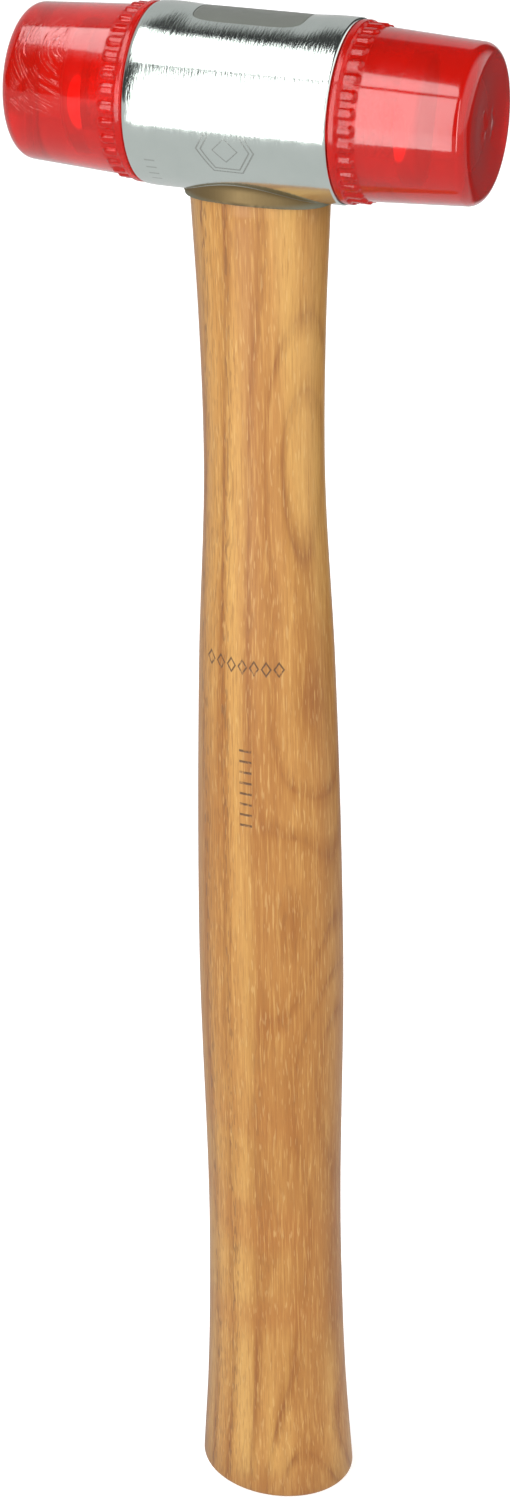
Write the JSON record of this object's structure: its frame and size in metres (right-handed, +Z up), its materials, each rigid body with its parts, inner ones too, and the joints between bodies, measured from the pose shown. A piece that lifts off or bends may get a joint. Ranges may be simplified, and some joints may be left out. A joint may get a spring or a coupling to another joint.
{
  "type": "plastic faced hammer",
  "caption": "Hand hammer with a round plated steel head, screw-on translucent red plastic striking faces and an oval wooden handle.",
  "frame": {"origin": "centre of the handle's flat butt, the point it stands on", "axes": "+Z up the handle to the head, +X along the head's axis, +Y across the head and the handle's thin side"},
  "size_m": [0.0808, 0.03, 0.309],
  "materials": {
    "zinc_plate": "polished zinc plate with fine brush marks around the barrel",
    "thread_steel": "plated, threaded",
    "red_plastic": "glossy translucent cellulose acetate",
    "handle_wood": "satin clear lacquer on straight-grained hickory",
    "wedge_wood": "raw",
    "wedge_steel": "raw",
    "dark_resin": "ground flush, satin"
  },
  "bodies": {
    "hammer": {"head_body": "zinc_plate", "stud_left": "thread_steel", "stud_right": "thread_steel", "handle": "handle_wood", "wooden_wedge": "wedge_wood", "steel_wedge": "wedge_steel", "eye_seal": "dark_resin"},
    "left_face": {"face_left": "red_plastic"},
    "right_face": {"face_right": "red_plastic"}
  },
  "joints": [
    {"name": "left_face_unscrew", "type": "slide", "parent": "hammer", "child": "left_face", "axis": [-1, 0, 0], "range_m": [0, 0.0095]},
    {"name": "right_face_unscrew", "type": "slide", "parent": "hammer", "child": "right_face", "axis": [1, 0, 0], "range_m": [0, 0.0095]}
  ]
}
